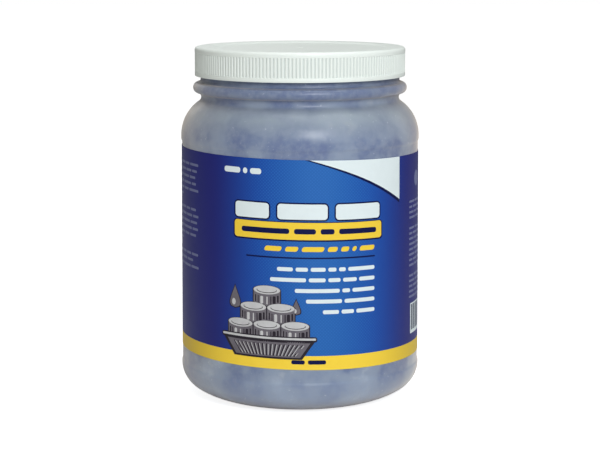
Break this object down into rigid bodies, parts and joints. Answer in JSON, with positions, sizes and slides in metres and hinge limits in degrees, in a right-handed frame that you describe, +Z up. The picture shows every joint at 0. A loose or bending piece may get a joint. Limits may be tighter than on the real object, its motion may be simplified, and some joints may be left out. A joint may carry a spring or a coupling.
{
  "type": "condensate treatment tablet tub",
  "caption": "Translucent wide-mouth plastic tub of round domed water treatment tablets, with a wrap label and a ribbed screw lid that turns and rises off the neck.",
  "frame": {"origin": "middle of the foot, on the surface that the tub stands on", "axes": "+Z up along the jar's axis, -Y towards the front of the label, the label's seam at +Y"},
  "size_m": [0.1276, 0.1276, 0.1859],
  "materials": {
    "jar_plastic": "translucent natural polyethylene, satin, lightly frosted",
    "label_film": "satin printed film, blue field with a yellow band",
    "lid_plastic": "white moulded polypropylene, satin",
    "liner_foam": "closed-cell foam sheet, matt",
    "tablet": "blue-violet gel tablet, waxy"
  },
  "bodies": {
    "tub": {"jar": "jar_plastic", "label": "label_film", "tablets_outer": "tablet", "tablets_core": "tablet", "tablets_shoulder": "tablet", "tablets_top": "tablet"},
    "liner": {"lid_liner": "liner_foam"},
    "lid": {"lid": "lid_plastic"}
  },
  "joints": [
    {"name": "lid_rise", "type": "slide", "parent": "tub", "child": "liner", "axis": [0, 0, 1], "range_m": [0, 0.0509]},
    {"name": "lid_turn", "type": "hinge", "parent": "liner", "child": "lid", "pos_m": [0, 0, 0.18], "axis": [0, 0, 1], "range_deg": [0, 3600]}
  ],
  "couplings": [
    {"joint": "lid_rise", "follows": "lid_turn", "m_per_rad": 0.00080851}
  ]
}
